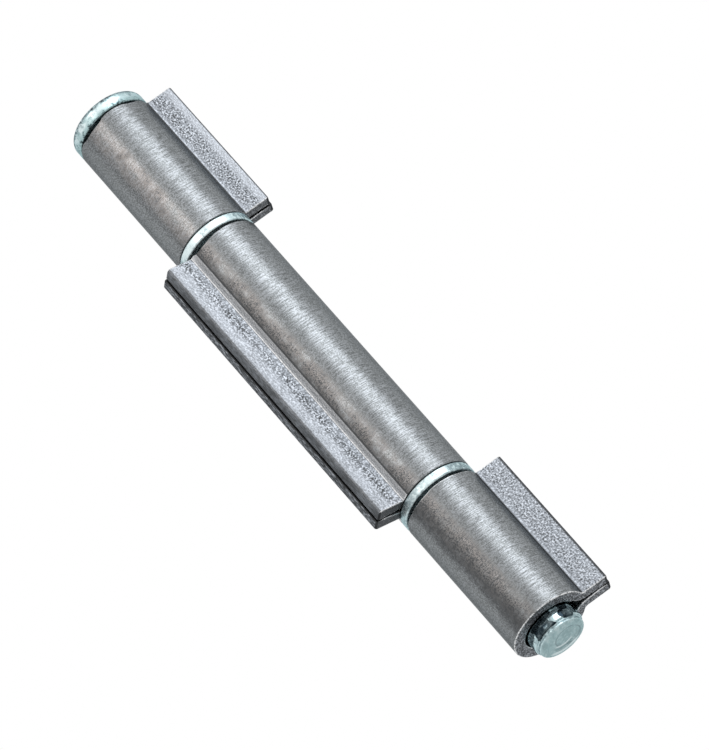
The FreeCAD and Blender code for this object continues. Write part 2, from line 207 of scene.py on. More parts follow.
class LeafSizes(bpy.types.PropertyGroup):
    """Sizes of the rolled strip that all three leaves are made of."""

    sheet: length("Strip thickness", "Thickness of the rolled strip", 3.0)
    gap: length("Leg gap", "Slit between the two legs of a wing", 0.3)
    wide_gap: length("Upper leaf's gap", "Slit between the upper leaf's two legs", 0.7)
    root_gap: length("Root gap", "How much each leg stands off where it leaves the bore", 0.5)
    bend: length("Outer bend radius", "Where an outer leaf's leg leaves the barrel", 1.0)
    middle_bend: length("Middle bend radius", "Where the middle leaf's leg leaves it", 0.6)
    edge: length("Outer edge rounding", "Long edges of the outer leaves' wings", 0.4)
    middle_edge: length("Middle edge rounding", "Long edges of the middle wing", 1.0)
    lip: length("Lip rounding", "Radius of the edges along the leg gap", 0.35)
    corner: length("Corner radius", "Radius of the wing's corners", 0.4)
    end_rounding: length("End rounding", "Radius round the leaf's two ends", 0.22)
    unevenness: length("Uneven ends", "How far a sheared end wanders", 0.14)
    wave: length("Wavy ends", "Depth of the slow wave in a sheared end", 0.8)
    long_leg: length("Longer leg", "How far one leg reaches past the other", 0.35)
    middle_turn: FloatProperty(name="Middle leaf", description="Direction of the middle wing",
                               default=math.radians(200), subtype="ANGLE")
    rows: IntProperty(name="Rows", description="Rows of faces along a short leaf", default=56)


class TurnedSizes(bpy.types.PropertyGroup):
    """Sizes of the pin and the washers."""

    shank: length("Shank radius", "Radius of the pin's shank", 6.5)
    head_height: length("Head height", "Height of the pin's head", 3.8)
    head_top: length("Head top edge", "Rounding of the head's upper edge", 1.2)
    head_under: length("Head lower edge", "Rounding of its lower edge", 0.5)
    washer_bore: length("Washer bore", "Radius of the washer's hole", 6.8)
    washer_edge: length("Washer edge", "Rounding of the washer's rim", 0.45)
    neck_height: length("Neck height", "From the pin's end to its neck", 1.1)
    neck_width: length("Neck width", "Width of the neck along the pin", 0.4)
    neck_depth: length("Neck depth", "Depth of the neck", 0.5)
    tip: length("Tip radius", "Radius of the disc at the pin's free end", 6.0)
    tip_edge: length("Tip edge", "Broken edge of the pin's free end", 0.4)
    recess_radius: length("Recess radius", "Round recess in the pin's end", 4.1)
    recess_depth: length("Recess depth", "Depth of the recess", 0.2)
    steps: IntProperty(name="Steps", description="Faces round a turned piece", default=160)


class Finishes(bpy.types.PropertyGroup):
    """Colours of the two metals."""

    steel: finish("Steel", "Bare rolled steel", 0.228, 0.242, 0.246)
    # Also the colour of the painted shade in the barrel's bands, the crease, under the head and
    # over the highlight.
    steel_dark: finish("Dark steel", "Pits and oxide", 0.065, 0.068, 0.071)
    # Also the painted glints in the barrel's highlight and the base of the lit strip.
    steel_bright: finish("Rubbed steel", "Worn high spots", 0.46, 0.485, 0.52)
    # Patina tint, which also colours the painted warm reflection on the barrel and the middle
    # leaf's lit strip.
    patina_and_warm_reflection: finish("Patina", "Warm film on the barrel", 0.30, 0.28, 0.268)
    wing: finish("Wing steel", "Pitted faces of the wings", 0.205, 0.22, 0.24)
    # Also the painted shade where the wing's edge turns away.
    cut_dark: finish("Dark end", "Dark parts of a sheared end", 0.11, 0.115, 0.12)
    # Bright burrs with painted glints round a sheared end, and the painted highlight on the ridge
    # beside the bend.
    burr_and_glint: finish("Burr", "Bright edges round a sheared end", 0.8, 0.81, 0.82)
    # Near-black painted shade in the slit between a wing's legs, along its outer edge and on the
    # corners of the sheared tips.
    slit_shade: finish("Slit", "Grime between the two legs of a wing", 0.03, 0.031, 0.032)
    zinc: finish("Zinc", "Bright zinc plating", 0.50, 0.64, 0.665)
    # Also the painted sheen and the painted highlight arcs on the pin's end.
    zinc_bright: finish("Bright zinc", "Clear spots in the plating", 0.8, 0.89, 0.9)
    zinc_dark: finish("Dull zinc", "Dull spots in the plating", 0.20, 0.26, 0.28)
    # Also painted shade on the head where the painted sheen is broken up.
    zinc_end: finish("Zinc end", "Film on the pin's end face and head", 0.29, 0.425, 0.435)
    # Blue-black tarnish, which is also painted dark reflection at the pin's tip.
    tarnish_and_dark_reflection: finish("Tarnish", "Blue-black film at the pin's tip", 0.018, 0.028, 0.036)


class Studio(bpy.types.PropertyGroup):
    """Camera, lamps and floor."""

    camera_place: FloatVectorProperty(name="Camera", description="Place of the camera",
                                      subtype="TRANSLATION", default=(-0.25579, -1.22947, -0.68711))
    lens: FloatProperty(name="Lens", description="Focal length on a 36 mm sensor", default=299.76)
    key_power: FloatProperty(name="Key power", description="Overhead soft box", default=2.2,
                             unit="POWER")
    side_power: FloatProperty(name="Side power", description="Small soft box at the left",
                              default=0.7, unit="POWER")
    floor_depth: length("Floor", "Height of the floor", -1600.0)


class Wire:
    """What comes out of a node. Sums, products, comparisons and the like with it are Math nodes."""

    def __init__(self, tree, socket):
        self.tree, self.socket = tree, socket

    def __rsub__(self, other):
        return maths("SUBTRACT", other, self)


for method, operation in {
        "add": "ADD", "radd": "ADD", "sub": "SUBTRACT", "mul": "MULTIPLY", "rmul": "MULTIPLY",
        "truediv": "DIVIDE", "mod": "MODULO", "pow": "POWER", "lt": "LESS_THAN",
        "gt": "GREATER_THAN", "abs": "ABSOLUTE"}.items():
    setattr(Wire, f"__{method}__",
            lambda self, *other, operation=operation: maths(operation, self, *other))


def put(tree, node, key, value):
    """Sets one input of a node: a wire is linked, anything else becomes its value."""
    if isinstance(value, Wire):
        tree.links.new(value.socket, node.inputs[key])
    elif value is not None:
        node.inputs[key].default_value = value


def add(tree, kind, *values, out=0, named=None, **settings):
    """What comes out of a new node, given its inputs in order, others by name, and its settings."""
    node = tree.nodes.new(kind)
    for key, value in settings.items():
        setattr(node, key, value)
    for key, value in (*enumerate(values), *(named or {}).items()):
        put(tree, node, key, value)
    return Wire(tree, node.outputs[out])


def maths(operation, *values):
    """The result of a Math node, at least one of whose values is a wire."""
    tree = next(value.tree for value in values if isinstance(value, Wire))
    return add(tree, "ShaderNodeMath", *values, operation=operation)


def least(first, second):
    return maths("MINIMUM", first, second)


def most(first, second):
    return maths("MAXIMUM", first, second)


def clamped(value):
    """The same number, kept between 0 and 1."""
    return add(value.tree, "ShaderNodeClamp", value)


def vectors(operation, first, second=None, out=0, **named):
    """The result of a Vector Math node."""
    return add(first.tree, "ShaderNodeVectorMath", first, second, out=out, named=named,
               operation=operation)


def xyz(x, y, z):
    """A vector of three numbers, at least one of which is a wire."""
    tree = next(value.tree for value in (x, y, z) if isinstance(value, Wire))
    return add(tree, "ShaderNodeCombineXYZ", x, y, z)


def parts(vector):
    """A vector's three parts."""
    node = add(vector.tree, "ShaderNodeSeparateXYZ", vector).socket.node
    return [Wire(vector.tree, part) for part in node.outputs]


def from_axis(place, x=0.0, y=0.0):
    """How far a place is from the pin's axis, or from a line beside it."""
    beside = vectors("ADD", place, (-x, -y, 0.0))
    return vectors("LENGTH", vectors("MULTIPLY", beside, (1.0, 1.0, 0.0)), out=1)


def turn_share(place, turn):
    """How far round the pin's axis a place is, as a share of that turn, counted from +X."""
    x, y, _ = parts(place)
    return maths("FRACT", maths("ARCTAN2", y, x) / turn)


def mixed(share, first, second):
    """One colour going over into another."""
    first, second = (colour if isinstance(colour, Wire) else (*colour, 1.0)
                     for colour in (first, second))
    return add(share.tree, "ShaderNodeMix", out=2, data_type="RGBA",
               named={0: share, 6: first, 7: second})


def layered(colour, *layers):
    """A colour with others laid over it in turn, each given with its share."""
    for share, shade in layers:
        colour = mixed(share, colour, shade)
    return colour


def blended(share, first, second):
    """One number going over into another."""
    return add(share.tree, "ShaderNodeMix", share, None, first, second, data_type="FLOAT")


def stepped(value, low, high):
    """0 below one value, 1 above another, smooth between."""
    return add(value.tree, "ShaderNodeMapRange", value, low, high, 0.0, 1.0,
               interpolation_type="SMOOTHSTEP")


def toned(value, stops):
    """A tone that follows a value through a row of stops, each a place and a tone."""
    tone = add(value.tree, "ShaderNodeFloatCurve", named={"Value": value})
    mapping = tone.socket.node.mapping
    points = mapping.curves[0].points
    points[0].location, points[1].location = stops[0], stops[-1]
    for stop in stops[1:-1]:
        points.new(*stop)
    mapping.update()
    return tone


def noises(place, kinds):
    """Noises over the object's own coordinates, by name."""
    found = {}
    for name, (waves, detail, roughness) in kinds.items():
        stretched = add(place.tree, "ShaderNodeMapping", place, named={"Scale": waves})
        found[name] = add(place.tree, "ShaderNodeTexNoise", named={
            "Vector": stretched, "Scale": 1.0, "Detail": detail, "Roughness": roughness})
    return found


def inputs_of(tree, count, *numbers):
    """Declares a tree's geometry in and out and its inputs, and returns these by name."""
    kinds = {"Geometry": "Geometry", count: "Int", **dict.fromkeys(numbers, "Float"),
             "Material": "Material"}
    tree.interface.new_socket("Geometry", in_out="OUTPUT", socket_type="NodeSocketGeometry")
    for name, kind in kinds.items():
        tree.interface.new_socket(name, in_out="INPUT", socket_type="NodeSocket" + kind)
    outputs = tree.nodes.new("NodeGroupInput").outputs
    return {name: Wire(tree, outputs[name]) for name in kinds}


def finish_tree(geometry, material):
    """Realises the geometry, gives it its material and sends it out."""
    tree = geometry.tree
    real = add(tree, "GeometryNodeRealizeInstances", geometry)
    dressed = add(tree, "GeometryNodeSetMaterial", real, None, material)
    put(tree, tree.nodes.new("NodeGroupOutput"), 0, dressed)


def merged(geometry):
    """The same mesh with its doubled points made one."""
    return add(geometry.tree, "GeometryNodeMergeByDistance", geometry, None, DOUBLES)


def joined(*pieces):
    """Several geometries as one."""
    whole = add(pieces[0].tree, "GeometryNodeJoinGeometry")
    for piece in pieces:
        put(whole.tree, whole.socket.node, 0, piece)
    return whole


def marked(geometry, marks):
    """The same mesh with a number for each mark stored on its faces."""
    for name, amount in marks.items():
        geometry = add(geometry.tree, "GeometryNodeStoreNamedAttribute", data_type="FLOAT",
                       domain="FACE", named={"Geometry": geometry, "Name": name, "Value": amount})
    return geometry


def table_grid(tree, columns, rows):
    """A grid mesh with its column and row numbers, counted from zero."""
    grid = add(tree, "GeometryNodeMeshGrid", 1.0, 1.0, columns, rows)
    index = add(tree, "GeometryNodeInputIndex")
    column = maths("FLOOR", index / rows)
    return grid, column, index - column * rows


def outline_point(outline, index):
    """Where the outline's point of that number lies."""
    where = add(outline.tree, "GeometryNodeInputPosition")
    return parts(add(outline.tree, "GeometryNodeSampleIndex", data_type="FLOAT_VECTOR",
                     domain="POINT", named={"Geometry": outline, "Value": where, "Index": index}))


def leaf_sides(tree, given):
    """The rolled outline drawn out along the pin, open at both ends.

    The end rows close in along a quarter circle, and the wing's corners are rounded in plan.
    """
    outline, whole_length, rounding = given["Geometry"], given["Length"], given["End rounding"]
    corner, reach, wing_start = given["Corner radius"], given["Reach"], given["Wing start"]
    end_rows = ROUND_ROWS + CORNER_ROWS
    count = add(tree, "GeometryNodeAttributeDomainSize", outline, component="CURVE")
    grid, column, row = table_grid(tree, count + 1, given["Rows"])
    last_row = given["Rows"] - 1

    def end_row(number):
        """How far from an end, and in from the outline, the row of that number from it lies."""
        angle = clamped(number / ROUND_ROWS) * QUARTER
        rise = clamped((number - ROUND_ROWS) / CORNER_ROWS) * corner
        return rise + rounding * (1 - maths("COSINE", angle)), rounding * (1 - maths("SINE", angle))

    zone = rounding + corner
    from_bottom, bottom_inset = end_row(row)
    from_top, top_inset = end_row(last_row - row)
    along = clamped((row - end_rows) / (last_row - 2 * end_rows))
    height = along * (whole_length - 2 * zone) + from_bottom + (zone - from_top)
    inset = bottom_inset + top_inset

    x, y, _ = outline_point(outline, column % count)
    x_next, y_next, _ = outline_point(outline, (column + 1) % count)
    x_last, y_last, _ = outline_point(outline, (column + (count - 1)) % count)
    outward = vectors("NORMALIZE", xyz(y_next - y_last, x_last - x_next, 0.0))
    pulled = vectors("SCALE", outward, Scale=inset * -1)

    from_end = least(height, whole_length - height)
    into_corner = most(corner - from_end, 0)
    drop = corner - maths("SQRT", most(corner ** 2 - into_corner ** 2, 0))
    corner_zone = corner * 2
    weight = clamped((x - reach + corner_zone) / corner_zone)
    out_along = clamped((x - wing_start) / (reach - wing_start))
    on_long_leg = y * given["Long leg"] > 0
    longer = abs(given["Long leg"]) * (out_along * on_long_leg)
    placed = vectors("ADD", xyz(x - drop * weight + longer, y, height), pulled)
    return merged(add(tree, "GeometryNodeSetPosition", grid, None, placed))


def leaf_caps(sides, z, whole_length):
    """The two flat faces that close the sides."""
    tree = sides.tree
    edge_faces = add(tree, "GeometryNodeInputMeshEdgeNeighbors")
    open_edge = add(tree, "FunctionNodeCompare", None, None, edge_faces, 1, data_type="INT",
                    operation="EQUAL")
    low_rim = add(tree, "FunctionNodeBooleanMath", open_edge, z < whole_length * 0.5,
                  operation="AND")
    loop = add(tree, "GeometryNodeMeshToCurve", sides, low_rim)
    filled = add(tree, "GeometryNodeFillCurve", loop, mode="NGONS")
    bottom = add(tree, "GeometryNodeFlipFaces", filled)
    top = add(tree, "GeometryNodeTransform", filled,
              named={"Translation": xyz(0.0, 0.0, whole_length)})
    return joined(bottom, top)


def leaf_tree():
    """Rolled leaf: its sides and its two ends, with marks that tell the material what is what.

    The sheared ends wander a little, and the upper one dips in a few places.
    """
    tree = bpy.data.node_groups.new("Rolled leaf", "GeometryNodeTree")
    given = inputs_of(
        tree, "Rows", "Length", "Base", "Turn", "End rounding", "Corner radius", "Reach",
        "Wing start", "Unevenness", "Wave", "Long leg", "Stain", "Slit", "End tone", "Strip",
        "Strip light", "Ridge light", "Seed")
    whole_length, reach, wing_start = given["Length"], given["Reach"], given["Wing start"]
    sides = leaf_sides(tree, given)
    place = add(tree, "GeometryNodeInputPosition")
    x, y, z = parts(place)
    caps = leaf_caps(sides, z, whole_length)
    from_end = least(z, whole_length - z)

    facing_x, facing_y, _ = parts(add(tree, "GeometryNodeInputNormal"))
    on_tip = (x > reach - TIP_ZONE) * (facing_x > FACES_OUT)
    at_corner = (abs(facing_y) < FACES_ASIDE) * (x > reach - TIP_CORNER)
    on_tip = most(on_tip, at_corner)
    on_wing = x > wing_start
    # The strip beside the bend and its ridge are marked with how strong their painted light is.
    on_strip = on_wing * (x < wing_start + given["Strip"])
    on_ridge = x > given["Strip"] * RIDGE_SHARE + wing_start
    light = on_ridge * given["Ridge light"] + given["Strip light"]
    # Marks for painted shade in the slit and the crease, painted light on the strip and its ridge,
    # and burrs with painted glints on the ends' edges.
    side_marks = {
        "cut": on_tip,
        "wing": on_wing,
        "slit_shade": (abs(y) < given["Slit"]) * on_wing,
        "plain": on_strip * light + on_tip * (y * given["Long leg"] > 0),
        "crease": (x > wing_start - CREASE_SHADE_WIDTH) * (x < wing_start),
        "burr_and_glint": from_end < given["End rounding"],
        "end": 0.0,
    }
    end_marks = {name: 1.0 if name in ("cut", "end") else 0.0 for name in side_marks}
    smooth = add(tree, "GeometryNodeSetShadeSmooth", marked(sides, side_marks))
    flat = add(tree, "GeometryNodeSetShadeSmooth", marked(caps, end_marks), None, False)
    own_marks = {"stain": given["Stain"], "tone": given["End tone"]}
    solid = merged(marked(joined(smooth, flat), own_marks))

    wander = add(tree, "ShaderNodeTexNoise", noise_dimensions="4D", named={
        "Vector": place, "W": given["Seed"], "Scale": UNEVEN_WAVES, "Detail": 3.0})
    fade = 1 - clamped(from_end / UNEVEN_ZONE)
    upper = z > whole_length * 0.5
    dip = toned(turn_share(place, 2 * HALF_TURN), END_DIPS)
    depth = wander * given["Unevenness"] + dip * upper * given["Wave"]
    inwards = upper * -2 + 1
    worn = add(tree, "GeometryNodeSetPosition", solid, None, None,
               xyz(0.0, 0.0, depth * (fade * inwards)))
    seated = add(tree, "GeometryNodeTransform", worn, named={
        "Translation": xyz(0.0, 0.0, given["Base"]), "Rotation": xyz(0.0, 0.0, given["Turn"])})
    finish_tree(seated, given["Material"])
    return tree


def turned_tree():
    """Turned piece: a half section, from the axis or the bore outwards, spun round the axis."""
    tree = bpy.data.node_groups.new("Turned piece", "GeometryNodeTree")
    given = inputs_of(tree, "Steps", "Base")
    section, steps = given["Geometry"], given["Steps"]
    count = add(tree, "GeometryNodeAttributeDomainSize", section, component="CURVE")
    grid, column, row = table_grid(tree, count + 1, steps + 1)
    radius, _, height = outline_point(section, column % count)
    turn = row / steps * (2 * HALF_TURN)
    x, y = radius * maths("COSINE", turn), radius * maths("SINE", turn)
    placed = xyz(x, y, height + given["Base"])
    spun = merged(add(tree, "GeometryNodeSetPosition", grid, None, placed))
    finish_tree(add(tree, "GeometryNodeSetShadeSmooth", spun), given["Material"])
    return tree


def new_object(name, data):
    """An object that shows that data in the scene."""
    item = bpy.data.objects.new(name, data)
    bpy.context.scene.collection.objects.link(item)
    return item


def run_tree(name, points, tree, values):
    """Makes a piece: the tree works on a closed outline, and the result becomes a plain mesh."""
    data = bpy.data.curves.new(name + ".outline", "CURVE")
    data.dimensions = "3D"
    spline = data.splines.new("POLY")
    spline.points.add(len(points) - 1)
    for point, place in zip(spline.points, points):
        point.co = (*place, 1.0)
    spline.use_cyclic_u = True
    holder = new_object(data.name, data)
    modifier = holder.modifiers.new("Shape", "NODES")
    modifier.node_group = tree
    for item in tree.interface.items_tree:
        if item.in_out == "INPUT" and item.name in values:
            modifier[item.identifier] = values[item.name]
    depsgraph = bpy.context.evaluated_depsgraph_get()
    mesh = bpy.data.meshes.new_from_object(holder.evaluated_get(depsgraph), depsgraph=depsgraph)
    mesh.name = name
    bpy.data.objects.remove(holder)
    return new_object(name, mesh)


def hand_over(piece, node):
    """Tells the frame which body the piece rides on, and hides the part that it stands for."""
    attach(piece, node)
    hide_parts(node)


def arc_points(centre, radius, begin, end, step):
    """Points along an arc, both ends included."""
    count = max(2, math.ceil(abs(end - begin) * radius / step))
    angles = [begin + (end - begin) * i / count for i in range(count + 1)]
    return [(centre[0] + radius * math.cos(a), centre[1] + radius * math.sin(a)) for a in angles]


def between(start, end, share):
    """The point at that share of the way from one point to another."""
    return tuple(a + (b - a) * share for a, b in zip(start, end))


def line_points(start, end, step):
    """Points along a straight run, both ends included."""
    count = max(1, math.ceil(math.dist(start, end) / step))
    return [between(start, end, i / count) for i in range(count + 1)]


def leaf_outline(sizes, edge, bend, gap):
    """The rolled strip's outline, anticlockwise, with the wing along +X, and the bend's centre.

    The strip wraps the bore and turns out into two legs. Each bend's outer and inner arc share one
    centre outside the barrel, so the strip keeps its thickness.
    """
    run_step, tip_step, bore_step = 0.5 * MM, 0.3 * MM, 0.9 * MM
    edge_step, bend_step, inner_step = 0.12 * MM, 0.2 * MM, 0.4 * MM
    bore = BARREL_RADIUS - sizes.sheet
    low, high = gap / 2, sizes.gap / 2 + sizes.sheet
    root = sizes.gap / 2 + sizes.root_gap
    centre_y = high + bend
    centre_x = math.sqrt((BARREL_RADIUS + bend) ** 2 - centre_y ** 2)
    lean = math.atan2(centre_y, centre_x)
    centre = (centre_x, centre_y)
    tip = (WING_REACH - edge, high - edge)
    lip = (WING_REACH - sizes.lip, low + sizes.lip)
    leg = line_points((centre_x, root), (lip[0], low), run_step)
    leg += arc_points(lip, sizes.lip, -QUARTER, 0.0, edge_step)[1:]
    leg += line_points((WING_REACH, lip[1]), (WING_REACH, tip[1]), tip_step)[1:]
    leg += arc_points(tip, edge, 0.0, QUARTER, edge_step)[1:]
    leg += line_points((tip[0], high), (centre_x, high), run_step)[1:]
    leg += arc_points(centre, bend, -QUARTER, lean - HALF_TURN, bend_step)[1:]
    barrel = arc_points((0, 0), BARREL_RADIUS, lean, HALF_TURN, run_step)[1:]
    inner_bend = arc_points(centre, centre_y - root, lean - HALF_TURN, -QUARTER, inner_step)
    bore_arc = arc_points((0, 0), bore, HALF_TURN, lean, bore_step)[:-1]
    half = inner_bend[:-1] + leg + barrel
    mirrored = [(x, -y) for x, y in reversed(half)]
    inside = [(x, -y) for x, y in reversed(bore_arc)] + bore_arc[1:]
    return half + mirrored[1:] + inside, centre_x


def half_section(points):
    """A half section in the XZ plane, with two more points close to the ends of each long run."""
    near = 0.15 * MM
    section = []
    for begin, end in zip(points, points[1:] + points[:1]):
        run = math.dist(begin, end)
        on_axis = max(begin[0], end[0]) == 0.0
        long_run = run > 4 * near and not on_axis
        for share in (0.0, near / run, 1 - near / run) if long_run else (0.0,):
            x, z = between(begin, end, share)
            section.append((x, 0.0, z))
    return section


def washer_section(sizes, height):
    """Flat washer: sharp bore edges, rounded rim."""
    step = 0.12 * MM
    edge = sizes.washer_edge
    rim = WASHER_RADIUS - edge
    low = arc_points((rim, edge), edge, -QUARTER, 0.0, step)
    high = arc_points((rim, height - edge), edge, 0.0, QUARTER, step)
    return [(sizes.washer_bore, 0.0)] + low + high + [(sizes.washer_bore, height)]


def pin_section(sizes, height):
    """Headed pin from the middle of its recess, out and up to the middle of its head."""
    soft = 0.1 * MM
    shoulder_step, head_step = 0.08 * MM, 0.15 * MM
    shank, tip, tip_edge = sizes.shank, sizes.tip, sizes.tip_edge
    under, top = sizes.head_under, sizes.head_top
    under_head = height - sizes.head_height
    neck_floor = shank - sizes.neck_depth
    neck_low = sizes.neck_height - sizes.neck_width / 2
    neck_high = sizes.neck_height + sizes.neck_width / 2
    recess, depth = sizes.recess_radius, sizes.recess_depth
    points = [(0.0, depth), (recess - soft, depth), (recess, depth - soft), (recess, soft),
              (recess + soft, 0.0)]
    points += arc_points((tip - tip_edge, tip_edge), tip_edge, -QUARTER, 0.0, soft)
    points += [(tip, neck_low - soft), (tip - soft, neck_low), (neck_floor + soft, neck_low),
               (neck_floor, neck_low + soft), (neck_floor, neck_high - soft),
               (neck_floor + soft, neck_high)]
    points += arc_points((shank - 3 * soft, neck_high + 3 * soft), 3 * soft, -QUARTER, 0.0,
                         shoulder_step)
    points += [(shank, under_head - soft), (shank + soft, under_head)]
    points += arc_points((HEAD_RADIUS - under, under_head + under), under, -QUARTER, 0.0, soft)
    points += arc_points((HEAD_RADIUS - top, height - top), top, 0.0, QUARTER, head_step)
    return points + [(0.0, height)]


def new_material(name):
    """An empty node material, its shader and its object coordinates."""
    material = bpy.data.materials.new(name)
    material.use_nodes = True
    tree = material.node_tree
    return material, tree.nodes["Principled BSDF"], add(tree, "ShaderNodeTexCoord", out="Object")


def finish_metal(material, shader, tint, colour, rough, relief):
    """Joins a metal's colour, roughness and relief, a height in metres, to its shader."""
    tree = material.node_tree
    bump = add(tree, "ShaderNodeBump", named={"Height": relief, "Distance": 1.0, "Strength": 1.0})
    for name, value in {"Metallic": 1.0, "Specular Tint": (*tint, 1.0), "Base Color": colour,
                        "Roughness": rough, "Normal": bump}.items():
        put(tree, shader, name, value)
    return material


class Metal:
    """What both metals' colours follow: noises, heights, the way round and out from the axis."""

    def __init__(self, place, colours, kinds, turn):
        self.place, self.colours = place, colours
        vars(self).update(noises(place, kinds))
        _, self.across, self.height = parts(place)
        self.radius = from_axis(place)
        self.around = turn_share(place, turn)


class RolledSteel(Metal):
    """The bare steel, which also follows the leaf's face marks."""

    def __init__(self, place, colours):
        super().__init__(place, colours, STEEL_NOISES, HALF_TURN)
        vars(self).update({name: add(place.tree, "ShaderNodeAttribute", out="Fac",
                                     attribute_name=name) for name in FACE_MARKS})
        self.rough_part = stepped(self.patches, 0.36, 0.56)

    def barrel(self):
        """Painted bands of shade, a painted warm reflection, grain, marks round the barrel with
        painted glints, and dark stains.
        """
        around, stain, patches = self.around, self.stain, self.patches
        dark, bright = self.colours.steel_dark, self.colours.steel_bright
        waver = self.clouds * 0.05 + around - 0.025
        warm_reflection = toned(waver, WARM_REFLECTION_BANDS)
        grainy = stepped(self.grains, 0.36, 0.64)
        # Where the highlights lie on the barrel: the marks show there, with painted glints.
        highlight_share = toned(around, HIGHLIGHT_BANDS)
        struck = highlight_share * (0.6 + 0.4 * stepped(patches, 0.38, 0.6))
        in_patches = stepped(patches + 0.25 * stain, 0.52, 0.72)
        specks = stepped(self.grains, 0.46, 0.56) * in_patches * warm_reflection
        wavering_streak = toned(self.clouds * 0.08 + (around - 0.04), DARK_STREAK)
        streak = toned(around, DARK_STREAK)
        blotches = stepped(self.blotches, 0.5, 0.6) * streak
        low_end = 1 - stepped(self.height, *LOW_END)
        return layered(
            # Painted shade in bands round the barrel, fixed in the world and the same on every
            # leaf.
            mixed(toned(waver, BARREL_SHADE_BANDS), dark, self.colours.steel),
            # A painted warm reflection of the lamp at the left, tinted like patina, in patches.
            (warm_reflection * stepped(patches, 0.25, 0.6), self.colours.patina_and_warm_reflection),
            (clamped(0.4 - 0.8 * grainy), dark),
            (clamped(0.75 * grainy - 0.375), bright),
            (0.5 * stepped(self.strokes, 0.56, 0.68) * struck, dark),
            # Painted glints: bright strokes in the highlight.
            (0.4 * (1 - stepped(self.strokes, 0.32, 0.46)) * struck, bright),
            (0.2 * stepped(self.marks, 0.55, 0.8), dark),
            (0.95 * specks, dark),
            (0.62 * wavering_streak * stain * stepped(patches, 0.2, 0.6), dark),
            (0.6 * blotches * stain, dark),
            # Painted shade that dims the highlight on the less stained leaves.
            (0.14 * stepped(highlight_share, 0.7, 1.0) * (1 - stain), dark),
            # Painted shade under the pin's head.
            (0.12 * stepped(self.height, *SHADE_UNDER_HEAD), dark),
            (0.45 * low_end * streak, dark),
        )

    def wing_face(self):
        """Pits and bright high spots, calmer towards a paler rim and the root, the strip with
        painted light, and painted shade where the edge turns and along its outline.
        """
        colours, radius, stain = self.colours, self.radius, self.stain
        dark, bright = colours.steel_dark, colours.steel_bright
        half_stained = 4.0 * stain * (1 - stain)
        by_ridge = (1 - stepped(radius, *BY_RIDGE)) * half_stained
        holes = 1 - stepped(self.pits - 0.04 * by_ridge, 0.38, 0.49)
        rim = stepped(radius + STAINED_RIM * stain, *WING_RIM) * clamped(1.15 - stain ** 2)
        root = 1 - stepped(radius, *WING_ROOT)
        calmer = 1 - most(0.6 * rim, 0.45 * root)
        # Painted shade where the wing's long edge turns away.
        turned_edge_shade = stepped(radius, *EDGE_TURN_SHADE) * stepped(half_stained, 0.4, 0.9)
        # A dark painted outline of shade along the wing's long edge.
        outline = stepped(radius, *OUTLINE_SHADE) * (0.03 + 0.87 * stain ** 2)
        return layered(
            mixed(clamped(0.4 * self.clouds - 0.1), colours.wing, bright),
            (0.8 * stepped(self.pits, 0.52, 0.64) * calmer, bright),
            (holes * calmer * (0.65 + 0.35 * self.rough_part), dark),
            (rim * (0.5 - 0.08 * half_stained), bright),
            (0.4 * turned_edge_shade, colours.cut_dark),
            # The strip beside the bend, in painted light.
            (0.8 * clamped(2.0 * self.plain), self.strip()),
            (most(outline, 0.75 * stepped(radius, *HAIRLINE_SHADE)), colours.slit_shade),
        )

    def strip(self):
        """The smoother strip of a wing's face beside the bend with painted light, and a painted
        highlight on its ridge.
        """
        colours, plain = self.colours, self.plain
        return layered(
            mixed(stepped(self.grains, 0.45, 0.72), colours.wing, colours.steel_bright),
            # A warm tint on the middle leaf's lit strip.
            (0.45 * stepped(plain, 0.5, 0.7), colours.patina_and_warm_reflection),
            # A painted highlight on the ridge.
            (clamped(1.2 * plain - 0.6), colours.burr_and_glint),
        )

    def wing_tip(self):
        """The wing's tip faces: one leg's drawn smooth, the longer leg's streaked."""
        colours, drawn = self.colours, self.drawn
        smooth = layered(mixed(stepped(drawn, 0.36, 0.64), colours.cut_dark, colours.wing),
                         (0.5 * stepped(self.patches, 0.45, 0.6), colours.steel_dark))
        streaked = layered(mixed(stepped(drawn, 0.4, 0.6), colours.steel_dark, colours.wing),
                           (0.7 * stepped(drawn, 0.57, 0.66), colours.steel_bright))
        return mixed(self.plain, smooth, streaked)

    def colour(self):
        """The whole leaf's colour, with painted shade in its crease, its sheared faces, burrs with
        painted glints, and painted shade in the slit and on the ends' corners.
        """
        colours, cut = self.colours, self.cut
        bright_cut = stepped(self.shear, 0.45, 0.64) * self.tone
        sheared_end = mixed(bright_cut, colours.cut_dark, colours.steel_bright)
        burr_and_glint = self.burr_and_glint * stepped(self.wing + self.tone, 0.6, 0.9)
        return layered(
            mixed(self.wing, self.barrel(), self.wing_face()),
            # Painted shade in the crease beside the barrel.
            (0.75 * self.crease, colours.steel_dark),
            (cut, mixed(self.end, self.wing_tip(), sheared_end)),
            # Bright burrs with painted glints along the ends' edges.
            (burr_and_glint * (1 - cut) * stepped(self.shear, 0.3, 0.6), colours.burr_and_glint),
            # Painted shade in the slit, and on the tip's corners at the ends.
            (most(self.slit_shade, 0.8 * burr_and_glint * cut), colours.slit_shade),
        )

    def roughness(self):
        """Smoother on the barrel, rougher in the wing's holes and on sheared faces."""
        barrel, wing = 0.35 + 0.05 * self.clouds, 0.52 - 0.2 * self.pits
        return blended(self.wing, barrel, wing) + 0.15 * self.cut

    def relief(self):
        """The height of the marks round the barrel and of the wing's pits, in metres."""
        pit_depth = PIT_DEPTH + ROUGH_PIT_DEPTH * self.rough_part
        return blended(self.wing, STROKE_DEPTH * self.strokes, self.pits * pit_depth)


def bare_steel(colours):
    """Rolled bare steel: painted shade bands and fine marks on the barrel, a pitted wing, dull
    cuts.
    """
    material, shader, place = new_material("rolled_steel")
    steel = RolledSteel(place, colours)
    return finish_metal(material, shader, STEEL_TINT, steel.colour(), steel.roughness(),
                        steel.relief())


